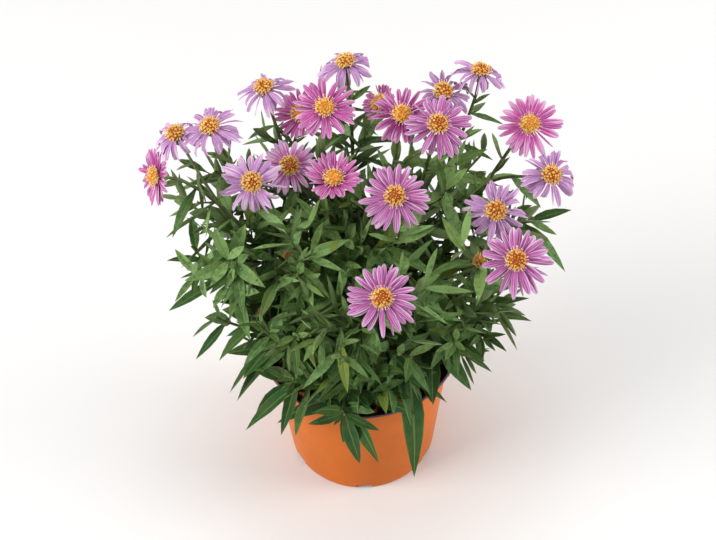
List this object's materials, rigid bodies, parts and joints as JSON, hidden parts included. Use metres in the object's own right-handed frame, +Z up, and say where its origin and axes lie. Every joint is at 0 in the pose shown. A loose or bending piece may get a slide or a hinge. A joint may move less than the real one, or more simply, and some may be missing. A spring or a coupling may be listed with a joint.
{
  "type": "potted aster",
  "caption": "Bushy aster in full flower, with lilac and magenta rays round yellow buttons, in a plain tapered nursery pot.",
  "frame": {"origin": "middle of the pot's flat base, on the surface that it stands on", "axes": "+Z up; the best side of the plant, which the picture shows, faces -Y; +X to its right"},
  "size_m": [0.2634, 0.2002, 0.2601],
  "materials": {
    "pot": "satin",
    "soil": "matte",
    "leaf": "satin",
    "rays_fresh": "matte",
    "rays_mid": "matte",
    "rays_old": "matte",
    "button": "matte"
  },
  "bodies": {
    "root": {"bloom_01_button": "button", "bloom_01_rays": "rays_fresh", "bloom_02_button": "button", "bloom_02_rays": "rays_old", "bloom_03_button": "button", "bloom_03_rays": "rays_old", "bloom_04_button": "button", "bloom_04_rays": "rays_old", "bloom_05_button": "button", "bloom_05_rays": "rays_fresh", "bloom_06_button": "button", "bloom_06_rays": "rays_fresh", "bloom_07_button": "button", "bloom_07_rays": "rays_old", "bloom_08_button": "button", "bloom_08_rays": "rays_fresh", "bloom_09_button": "button", "bloom_09_rays": "rays_fresh", "bloom_10_button": "button", "bloom_10_rays": "rays_old", "bloom_11_button": "button", "bloom_11_rays": "rays_mid", "bloom_12_button": "button", "bloom_12_rays": "rays_old", "bloom_13_button": "button", "bloom_13_rays": "rays_fresh", "bloom_14_button": "button", "bloom_14_rays": "rays_old", "bloom_15_button": "button", "bloom_15_rays": "rays_old", "bloom_16_button": "button", "bloom_16_rays": "rays_mid", "bloom_17_button": "button", "bloom_17_rays": "rays_mid", "bloom_18_button": "button", "bloom_18_rays": "rays_mid", "bloom_19_button": "button", "bloom_19_rays": "rays_old", "bloom_20_button": "button", "bloom_20_rays": "rays_mid", "bloom_21_button": "button", "bloom_21_rays": "rays_fresh", "pot": "pot", "shoots_back": "leaf", "shoots_front": "leaf", "shoots_left": "leaf", "shoots_right": "leaf", "soil": "soil", "stem_far_left": "leaf", "stem_far_right": "leaf", "stem_front": "leaf", "stem_inner_left": "leaf", "stem_left": "leaf", "stem_left_back": "leaf", "stem_middle": "leaf", "stem_right": "leaf", "stem_right_back": "leaf", "stem_right_upper": "leaf", "stem_tall": "leaf", "stem_upper_middle": "leaf"}
  },
  "joints": []
}
